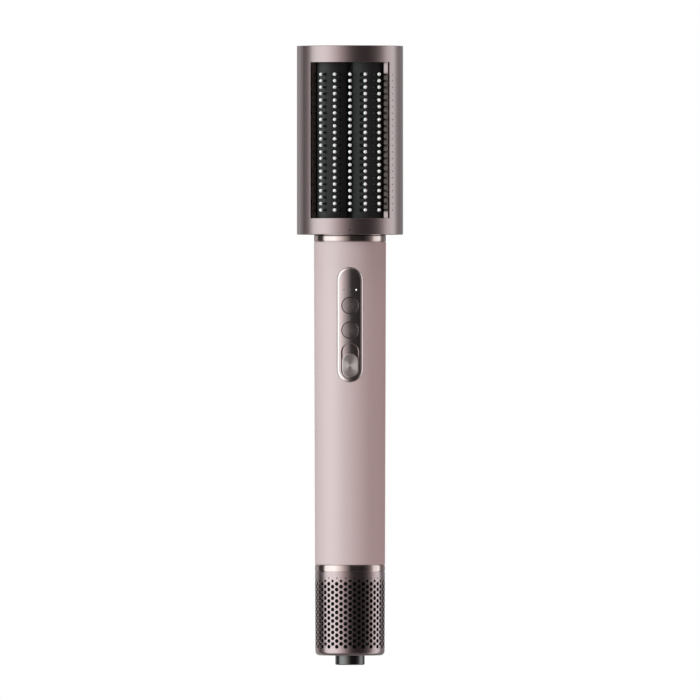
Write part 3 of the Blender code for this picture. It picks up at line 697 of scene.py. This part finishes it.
# %% Rounded bezel round the panel
BEZEL_CURVE = ((0, 0), (0.3, 0.07), (0.6, 0.22), (0.8, 0.335), (0.96, 0.435))   # share across, drop
INNER_GROW, CURVE_GROW, EDGE_DROP = 0.03, 0.10, 0.06
rim = [(CURVE_GROW + share * (inset - CURVE_GROW), drop) for share, drop in BEZEL_CURVE]
section = [(INNER_GROW, PANEL_DEPTH), (INNER_GROW, EDGE_DROP), *rim, (inset, rim[-1][1] + EDGE_DROP),
           (inset, PANEL_DEPTH)]
shape = bmesh.new()
loops = []
for grow, depth in section:
    outline = stadium(panel_width - inset + grow, panel_height - inset + grow, PANEL_STEPS)
    loops.append([shape.verts.new((x, depth, panel_middle + z)) for x, z in outline])
for near, far in zip(loops, loops[1:] + loops[:1]):
    for i in range(len(near)):
        k = (i + 1) % len(near)
        shape.faces.new((near[i], near[k], far[k], far[i]))
bezel = new_piece("panel_bezel", shape, METALLISED)
bend(bezel, PANEL_PROUD, None)
fit(bezel, "handle", "panel_gloss")

# %% [markdown]
# The two round buttons are spun caps. They could be flat discs, but bent to the panel's curve they
# mirror the same lights as the panel.

# %% Buttons, a hair proud of the panel
BUTTON_DEPTH, BUTTON_PROUD = 2.2, 0.05
BUTTON_TRIM = 0.05              # the cap is this much smaller in radius than the key under it
for name, middle in (("upper", upper_middle), ("lower", lower_middle)):
    metal = spun(f"spun_{name}_button", "#b5a2a2", 0.28, 0.6, middle, 0.14)
    cap = slab(f"{name}_button_cap", circle(button_radius - BUTTON_TRIM, 72), BUTTON_DEPTH, 0, middle, metal)
    soften(cap, 0.22, 3)
    bend(cap, PANEL_PROUD + BUTTON_PROUD)
    fit(cap, f"{name}_key", "panel_gloss", f"{name}_button")

# %% Track floor with the slot that the knob's stem runs in
STEM_HALF, STEM_RISE, TRAVEL = 1.2, 1.1, 5.0
SLOT_CLEARANCE = 0.2
TRACK_LIP = 0.5                 # how far the floor reaches under the panel on each side
TRACK_THICK, TRACK_SUNK = 0.5, 0.02
knob_middle = middle_of("power_slider")


def rectangle(half, rise):
    """A rectangle's outline, from its half width and half height."""
    return [(-half, -rise), (half, -rise), (half, rise), (-half, rise)]


track_outline = stadium(TRACK_WIDTH + 2 * TRACK_LIP, TRACK_HEIGHT + 2 * TRACK_LIP, 32)
track_floor = slab("track_floor", track_outline, TRACK_THICK, 0, track_middle, METALLISED)
slot_shape = rectangle(STEM_HALF + SLOT_CLEARANCE, STEM_RISE + TRAVEL / 2 + SLOT_CLEARANCE)
carve(track_floor, slab("slot", slot_shape, CUT_FROM, CUT_TO, knob_middle + TRAVEL / 2))
bend(track_floor, PANEL_PROUD - PANEL_DEPTH - TRACK_SUNK)
fit(track_floor, "handle", "panel_gloss")

# %% Slider knob, a flat spun stadium with a bright bevel
knob_width, knob_height = knob_high.x - knob_low.x, knob_high.z - knob_low.z
knob_metal = spun("spun_slider_knob", "#f8e6e4", 0.47, 1.0, knob_middle, 0.16)
KNOB_FACE, KNOB_BACK = knob_low.y + 0.1, -18.75
STEM_BACK, STEM_OVERLAP = -16.4, 0.3
knob_outline = stadium(knob_width, knob_height, PANEL_STEPS)
knob = slab("slider_knob", knob_outline, KNOB_BACK, KNOB_FACE, knob_middle, knob_metal)
soften(knob, 0.52, 3)
stem = slab("stem", rectangle(STEM_HALF, STEM_RISE), STEM_BACK, KNOB_BACK - STEM_OVERLAP, knob_middle)
carve(knob, stem, "UNION")
knob.data.normals_split_custom_set(true_normals(knob, KNOB_FACE))
fit(knob, "slide_knob", "panel_gloss", "power_slider")


# %% Indicator lights
def glowing(name, colour, strength):
    """The end of a light guide, which glows white when it is lit."""
    made = finish(name, colour, 0.3, ior=1.49, grain_mm=0.2, bump=0.05, mottle=0.02)
    shader = made.node_tree.nodes["Principled BSDF"]
    shader.inputs["Emission Color"].default_value = linear("#ffffff")
    shader.inputs["Emission Strength"].default_value = strength
    return made


LIT = glowing("lit_light_guide", "#ffffff", 1.0)
UNLIT = glowing("unlit_light_guide", "#6f6362", 0.0)
LIT_LENS, LENS, LENS_PROUD = 0.55, 0.45, 0.16
for n, x in enumerate((-LED_X, 0, LED_X)):
    shape = bmesh.new()
    turn = Matrix.Rotation(math.pi / 2, 4, "X")
    front = -math.sqrt((grip_radius(led_height) + PANEL_PROUD) ** 2 - x * x)
    radius = LIT_LENS if n == 2 else LENS
    at = Matrix.Translation((x, front + radius - LENS_PROUD, led_height)) @ turn
    bmesh.ops.create_uvsphere(shape, u_segments=24, v_segments=14, radius=radius, matrix=at)
    lens = new_piece(f"indicator_{n + 1}", shape, LIT if n == 2 else UNLIT)
    fit(lens, "handle", "light_guide", *(["led_light_guide"] if n == 0 else []))

# %% [markdown]
# ## The brush head
# The head is drawn as a thin lacquered sleeve over a black core, with a window at the front. The core's
# black is painted shade, for the groove round the window where it is set back. Each layer is turned in
# three parts that share their corner points: the whole section for the closed back, and a strip above
# and below the window. Two flat faces along radii then close the window's sides, which a Boolean cut
# would leave ragged.


# %% A barrel with a window
BARREL_STEPS = 192              # round the whole circle


def barrel(name, outer_r, inner_r, span, window, half_angle, edge, material):
    """A tube with a window cut along radii. The edge is the rounding of its outer ends."""
    bottom, top = span
    foot, head = window
    loop = [(outer_r, top), (outer_r, head), (outer_r, foot), (outer_r, bottom), (inner_r, bottom),
            (inner_r, foot), (inner_r, head), (inner_r, top)]
    whole = rounded(loop, [edge, 0, 0, edge, 0, 0, 0, 0], 4)
    crown = rounded([loop[0], loop[1], loop[6], loop[7]], [edge, 0, 0, 0], 4)
    base = rounded([loop[2], loop[3], loop[4], loop[5]], [0, edge, 0, 0], 4)
    shape = bmesh.new()
    front = -math.pi / 2
    back_steps = round(BARREL_STEPS * (1 - half_angle / math.pi))
    spin(shape, whole, back_steps, front + half_angle, 2 * math.pi - 2 * half_angle)
    for part in (crown, base):
        spin(shape, part, BARREL_STEPS - back_steps, front - half_angle, 2 * half_angle)
    for side in (-1, 1):
        turn = Matrix.Rotation(front + side * half_angle, 3, "Z")
        corners = [(outer_r, foot), (outer_r, head), (inner_r, head), (inner_r, foot)]
        shape.faces.new([shape.verts.new(turn @ Vector((r, 0, z))) for r, z in corners])
    return new_piece(name, shape, material)


print("a barrel is turned in", BARREL_STEPS, "steps")

# %% Sleeve, window frame and core
head_low, head_high = extent("head_shell")
liner_low, liner_high = extent("head_liner")
BELOW_WINDOW, ABOVE_WINDOW, WINDOW_HALF_WIDTH = 9.0, 9.3, 22.0
WINDOW = (head_low.z + BELOW_WINDOW, head_high.z - ABOVE_WINDOW)
WINDOW_HALF_ANGLE = math.asin(WINDOW_HALF_WIDTH / head_high.x)
SLEEVE = 0.45                   # thickness of the lacquered sleeve
CORE_INNER = 28.25
JAMB_OUTER, JAMB_INNER = 28.2, 25.3
REBATE = 1.2                    # how far the core's window is set back behind the sleeve's
sleeve = barrel("head_barrel", head_high.x, head_high.x - SLEEVE, (head_low.z, head_high.z), WINDOW,
                WINDOW_HALF_ANGLE, 0.3, ROSE_LACQUER)
lining = barrel("window_frame", JAMB_OUTER, JAMB_INNER, (liner_low.z, liner_high.z), WINDOW,
                WINDOW_HALF_ANGLE, 0.1, ROSE_LACQUER)
CORE_INTO_SLEEVE, CORE_SHORT = 0.15, 0.03
# Painted shade: the core's black darkens the groove round the window and the ring at the top.
core = barrel("barrel_core", head_high.x - SLEEVE + CORE_INTO_SLEEVE, CORE_INNER,
              (head_low.z + CORE_SHORT, head_high.z - CORE_SHORT),
              (WINDOW[0] - REBATE, WINDOW[1] + REBATE), WINDOW_HALF_ANGLE + REBATE / CORE_INNER, 0.1,
              BLACK_ABS)
print("window from", round(WINDOW[0], 1), "to", round(WINDOW[1], 1), "mm")

# %% [markdown]
# Air leaves through slots at the right jamb and pinholes in the sleeve, one of each for every row of
# bristles. One cutter mesh cuts a whole column, because twenty-two Booleans would be slow.

# %% Cutters for the vents
ROWS = 22
FIRST_ROW, ROW_PITCH = 252.5, 3.586
LAST_ROW = FIRST_ROW + ROW_PITCH * (ROWS - 1)
VENT_HEIGHT, VENT_DEPTH = 0.9, 0.7
PINHOLE, PINHOLE_ANGLE = 0.36, math.radians(53.0)


def vents(name, make):
    """One cutter mesh with a shape for each bristle row. Make adds one at a height."""
    shape = bmesh.new()
    for row in range(ROWS):
        make(shape, FIRST_ROW + ROW_PITCH * row)
    return new_piece(name, shape, None)


def slot_cutter(shape, z):
    """Adds a box that cuts the jamb's face at a height."""
    turn = Matrix.Rotation(WINDOW_HALF_ANGLE - math.pi / 2, 4, "Z")
    size = Matrix.Diagonal((JAMB_OUTER - JAMB_INNER + 1.5, 2 * VENT_DEPTH, VENT_HEIGHT, 1))
    at = turn @ Matrix.Translation(((JAMB_OUTER + JAMB_INNER) / 2, 0, z)) @ size
    bmesh.ops.create_cube(shape, size=1.0, matrix=at)


def pinhole_cutter(shape, z):
    """Adds a thin drill that goes through the sleeve at a height."""
    turn = Matrix.Rotation(PINHOLE_ANGLE - math.pi / 2, 4, "Z")
    at = turn @ Matrix.Translation((head_high.x, 0, z)) @ Matrix.Rotation(math.pi / 2, 4, "Y")
    bmesh.ops.create_cone(shape, cap_ends=True, segments=16, radius1=PINHOLE, radius2=PINHOLE, depth=1.6,
                          matrix=at)


print(ROWS, "rows, from", FIRST_ROW, "to", round(LAST_ROW, 1), "mm")

# %% Jambs and vents
JAMB_SHORT = 0.05
JAMB = [(21.0, -18.8), (18.7, -17.3), (18.8, -16.6), (21.2, -18.5)]     # a wedge that faces the light
for side, name in ((1, "right"), (-1, "left")):
    foot = [(side * x, y, WINDOW[0] + JAMB_SHORT) for x, y in JAMB]
    shape = extruded(foot, (0, 0, WINDOW[1] - WINDOW[0] - 2 * JAMB_SHORT))
    # Painted shade: the left jamb, facing away from the light, gets the darker copy.
    trim = new_piece(f"{name}_jamb", shape, JAMB_LACQUER if side > 0 else SHADED_JAMB_LACQUER)
    soften(trim, 0.08, 2, 60)
    if side > 0:
        carve(trim, vents("trim_slots", slot_cutter))
        # Painted shade: the right jamb's band of bristle rows gets the darker copy, for the bristles' shade.
        trim.data.materials.append(SHADED_JAMB_LACQUER)
        for polygon in trim.data.polygons:
            polygon.material_index = int(FIRST_ROW < polygon.center.z / MM < LAST_ROW)
    reshade(trim)
    fit(trim, "brush_head", "rose_paint")
soften(sleeve, 0.3, 3, 60)
soften(lining, 0.15, 2, 60)
carve(lining, vents("slots", slot_cutter))
carve(sleeve, vents("pinholes", pinhole_cutter))
for piece in (sleeve, lining, core):
    reshade(piece)
fit(sleeve, "brush_head", "rose_paint", "head_shell")
fit(lining, "brush_head", "rose_paint", "head_liner")
fit(core, "brush_head", "black_plastic")

# %% Index mark that shows how the head goes on
MARK_AT = (-0.2, -head_high.x + 0.08, 241.4)
shape = bmesh.new()
at = Matrix.Translation(MARK_AT) @ Matrix.Rotation(math.pi / 2, 4, "X")
bmesh.ops.create_cone(shape, cap_ends=True, segments=24, radius1=0.34, radius2=0.34, depth=0.2, matrix=at)
mark = new_piece("index_mark", shape, INK)
fit(mark, "brush_head", "rose_paint")

# %% [markdown]
# The head's top is a separate disc, pressed in with a fine seam and dished slightly. It is turned, like
# the barrel, from half of its section.

# %% Top cap, with a fine seam round it and a shallow dish
CAP_SEAM = 0.12
cap_low, cap_high = extent("head_cap")
cap_edge = CORE_INNER - CAP_SEAM
DISH, RIM_OUTER, RIM_INNER = 0.5, 1.8, 3.0
cap_outline = [(0, cap_high.z - DISH - 0.1), (cap_edge - RIM_INNER, cap_high.z - DISH),
               (cap_edge - RIM_OUTER, cap_high.z), (cap_edge, cap_high.z), (cap_edge, cap_low.z),
               (0, cap_low.z)]
shape = bmesh.new()
spin(shape, cap_outline, BARREL_STEPS, closed=False)
top_cap = new_piece("top_cap", shape, ROSE_LACQUER)
soften(top_cap, 0.2, 3, 30)
fit(top_cap, "brush_head", "rose_paint", "head_cap")

# %% [markdown]
# ## Bristle bed
# Two convex nylon lobes carry the bristles, with an air slot between them and a gap at each side. They
# are the same all the way up, so one lobe's arc is drawn, mirrored for the other, and extruded.

# %% Two lobes
bed_low, bed_high = extent("bristle_bed")
LOBE_X, LOBE_Y, LOBE_R = 9.4, -7.7, 12.4
SLOT_HALF = 1.4
first = math.acos((SLOT_HALF - LOBE_X) / LOBE_R)
last = math.acos((bed_high.x - LOBE_X) / LOBE_R)
ARC_STEPS = 40
arc = [first + (last - first) * i / ARC_STEPS for i in range(ARC_STEPS + 1)]
lobe = [(LOBE_X + LOBE_R * math.cos(a), LOBE_Y - LOBE_R * math.sin(a)) for a in arc]
right_half = [(SLOT_HALF, bed_high.y)] + lobe + [(bed_high.x, bed_high.y)]
for side, name in ((1, "right"), (-1, "left")):
    foot = [(side * x, y, bed_low.z) for x, y in right_half]
    shape = extruded(foot, (0, 0, bed_high.z - bed_low.z))
    pad = new_piece(f"{name}_bed_lobe", shape, BED_NYLON)
    soften(pad, 0.3, 2, 50)
    fit(pad, "brush_head", "black_plastic", *(["bristle_bed"] if side > 0 else []))

# %% [markdown]
# ## Bristles
# Each bristle is a tapered nylon shaft along a radius of the head, with a collar where it leaves the
# bed and a white resin ball on its tip. They stand in exact rows, so a plain loop makes five columns
# of twenty-two.

# %% Five columns of bristles
COLUMN_ANGLE = math.radians(18.0)
TIP_RADIUS = 28.5
BALL = 1.0
DEEP_ROOT = 16.6                # the middle column stands in the slot between the lobes
COLLAR = 0.45
SHAFT_FOOT, SHAFT_TIP = 0.62, 0.42
COLLAR_FOOT, COLLAR_TOP = 1.15, 0.8
SHAFT_OVERLAP = 0.6             # how much longer a shaft is than the gap from bed to ball


def root_of(out):
    """How far from the axis a ray leaves the lobe."""
    centre = Vector((math.copysign(LOBE_X, out.x), LOBE_Y, 0))
    along = out.dot(centre)
    return along + math.sqrt(along * along - centre.length_squared + LOBE_R * LOBE_R)


for column in range(-2, 3):
    shafts, balls = bmesh.new(), bmesh.new()
    turn = column * COLUMN_ANGLE
    out = Vector((math.sin(turn), -math.cos(turn), 0))
    lean = Vector((0, 0, 1)).rotation_difference(out).to_matrix().to_4x4()
    root = root_of(out) if column else DEEP_ROOT
    for row in range(ROWS):
        rise = Vector((0, 0, FIRST_ROW + ROW_PITCH * row))
        at = Matrix.Translation(out * (root + TIP_RADIUS - BALL) / 2 + rise) @ lean
        bmesh.ops.create_cone(shafts, cap_ends=True, segments=12, radius1=SHAFT_FOOT,
                              radius2=SHAFT_TIP, depth=TIP_RADIUS - BALL - root + SHAFT_OVERLAP,
                              matrix=at)
        at = Matrix.Translation(out * root + rise) @ lean
        bmesh.ops.create_cone(shafts, cap_ends=True, segments=18, radius1=COLLAR_FOOT,
                              radius2=COLLAR_TOP, depth=2 * COLLAR, matrix=at)
        at = Matrix.Translation(out * (TIP_RADIUS - BALL) + rise) @ lean
        bmesh.ops.create_uvsphere(balls, u_segments=18, v_segments=12, radius=BALL, matrix=at)
    number = column + 3
    stems = new_piece(f"bristle_column_{number}", shafts, SHAFT_NYLON)
    fit(stems, "brush_head", "bristle_nylon", f"bristle_strip_{number}")
    tips = new_piece(f"ball_tips_{number}", balls, TIP_RESIN)
    fit(tips, "brush_head", "bristle_nylon")

# %% [markdown]
# ## The intake cage
# The cage is a lacquered metal tube with forty-eight columns of punched holes, every other column
# half a pitch higher, and smaller holes in the two top rows. Booleans would be slow. Instead a cell, a
# square of sheet round a hole, is repeated round the tube: neighbours share their edge points, so the
# sheet closes up, and Solidify gives it its gauge.

# %% The sheet's measures
COLUMNS = 48
PITCH = 3.17
HOLE, SMALL_HOLE, PINPRICK = 1.12, 0.78, 0.38
SMALL_FROM, PINPRICK_FROM = 46.0, 47.6      # heights at which the holes shrink
LOWEST = 10.3
CELL_STEPS = 4                  # edge points along each side of a cell
cage_low, cage_high = extent("filter_cage")
GAUGE = 0.8
LIP = 16.5                      # radius of the opening in the cage's floor
CAGE_FOOT_RADIUS, CAGE_FLARE = 19.2, 0.22


def cage_radius(z):
    """The cage's radius at a height: it widens a little towards the handle."""
    return CAGE_FOOT_RADIUS + CAGE_FLARE * (z - cage_low.z) / (cage_high.z - cage_low.z)


def hole_radius(z):
    """How large the holes are at a height."""
    return HOLE if z < SMALL_FROM else (SMALL_HOLE if z < PINPRICK_FROM else PINPRICK)


def on_cage(angle, z):
    """The point of the cage's surface at an angle and a height."""
    radius = cage_radius(z)
    return Vector((radius * math.cos(angle), radius * math.sin(angle), z))


print("ribs between holes:", round(PITCH - 2 * HOLE, 2), "mm")

# %% One cell of sheet, a square round a hole
HALF_COLUMN = math.pi / COLUMNS


def cell(shape, angle, z):
    """Adds a square of sheet at an angle and a height, with a hole through it."""
    ring = []
    for a, h, da, dh in ((-1, -1, 2, 0), (1, -1, 0, 2), (1, 1, -2, 0), (-1, 1, 0, -2)):
        for i in range(CELL_STEPS):
            share = i / CELL_STEPS
            ring.append((HALF_COLUMN * (a + da * share), PITCH / 2 * (h + dh * share)))
    edge = [shape.verts.new(on_cage(angle + a, z + h)) for a, h in ring]
    radius = hole_radius(z)
    rim = []
    for a, h in ring:
        turn = math.atan2(h, a * cage_radius(z))
        rim.append(shape.verts.new(on_cage(angle + radius * math.cos(turn) / cage_radius(z),
                                           z + radius * math.sin(turn))))
    for i in range(len(ring)):
        j = (i + 1) % len(ring)
        shape.faces.new((edge[i], edge[j], rim[j], rim[i]))


def filler(shape, angle, z):
    """Adds half a cell of plain sheet above a height, where a raised column leaves a gap."""
    width, rise = 2 * HALF_COLUMN / CELL_STEPS, PITCH / CELL_STEPS
    for i in range(CELL_STEPS):
        left = angle - HALF_COLUMN + width * i
        for bottom in (z, z + rise):
            corners = ((left, bottom), (left + width, bottom), (left + width, bottom + rise),
                       (left, bottom + rise))
            shape.faces.new([shape.verts.new(on_cage(a, h)) for a, h in corners])


print("each cell has", 4 * CELL_STEPS, "points round its hole")

# %% All the cells, with a plain collar above and a rounded foot below
HOLES_UP = 13                   # holes in a low column; a raised column has one fewer
sheet_foot, sheet_head = LOWEST - PITCH / 2, LOWEST + PITCH * (HOLES_UP - 0.5)
shape = bmesh.new()
for column in range(COLUMNS):
    angle = 2 * math.pi * column / COLUMNS - math.pi / 2
    raised = column % 2 == 0
    for k in range(HOLES_UP - raised):
        cell(shape, angle, LOWEST + PITCH * (k + raised / 2))
    if raised:
        filler(shape, angle, sheet_foot)
        filler(shape, angle, sheet_head - PITCH / 2)
start = -math.pi / 2 - HALF_COLUMN
collar = [(cage_radius(cage_high.z), cage_high.z), (cage_radius(sheet_head), sheet_head)]
spin(shape, collar, COLUMNS * CELL_STEPS, start, closed=False)
FILLET, FILLET_STEPS = 2.3, 8
foot = [(cage_radius(sheet_foot), sheet_foot), (cage_radius(cage_low.z + FILLET), cage_low.z + FILLET)]
corner_x = foot[-1][0] - FILLET
for i in range(1, FILLET_STEPS + 1):
    turn = math.pi / 2 * i / FILLET_STEPS
    foot.append((corner_x + FILLET * math.cos(turn), cage_low.z + FILLET - FILLET * math.sin(turn)))
foot.append((LIP, cage_low.z))
spin(shape, foot, COLUMNS * CELL_STEPS, start, closed=False)
cage = new_piece("perforated_cage", shape, CAGE_LACQUER, 60)
gauge = cage.modifiers.new("gauge", "SOLIDIFY")
gauge.thickness = GAUGE * MM
gauge.offset = -1.0
settle(cage)
cage.data.shade_smooth()
cage.data.set_sharp_from_angle(angle=math.radians(50))
fit(cage, "intake_cage", "cage_metal", "filter_cage")

# %% [markdown]
# ## The cord gland
# Where a cord would leave, a turned and lacquered sleeve sits in the cage's floor and may turn there.
# It is turned like the rings, with a bore for the cord. Its lower rim is rounded most, because that is
# the lowest point of the brush and takes the knocks.

# %% Gland
gland_low, gland_high = extent("cord_gland")
gland_radius = gland_high.x
NECK, SHOULDER_HEIGHT, BORE = 6.1, 9.2, 4.0
gland_outline = [(NECK, gland_high.z), (NECK, SHOULDER_HEIGHT), (gland_radius, SHOULDER_HEIGHT),
                 (gland_radius, gland_low.z), (BORE, gland_low.z), (BORE, gland_high.z)]
gland = turned("grip_gland", rounded(gland_outline, [0.2, 0, 0.2, 0.7, 0.5, 0.2], 5), GUNMETAL, 96)
fit(gland, "gland", "cage_metal", "cord_gland")
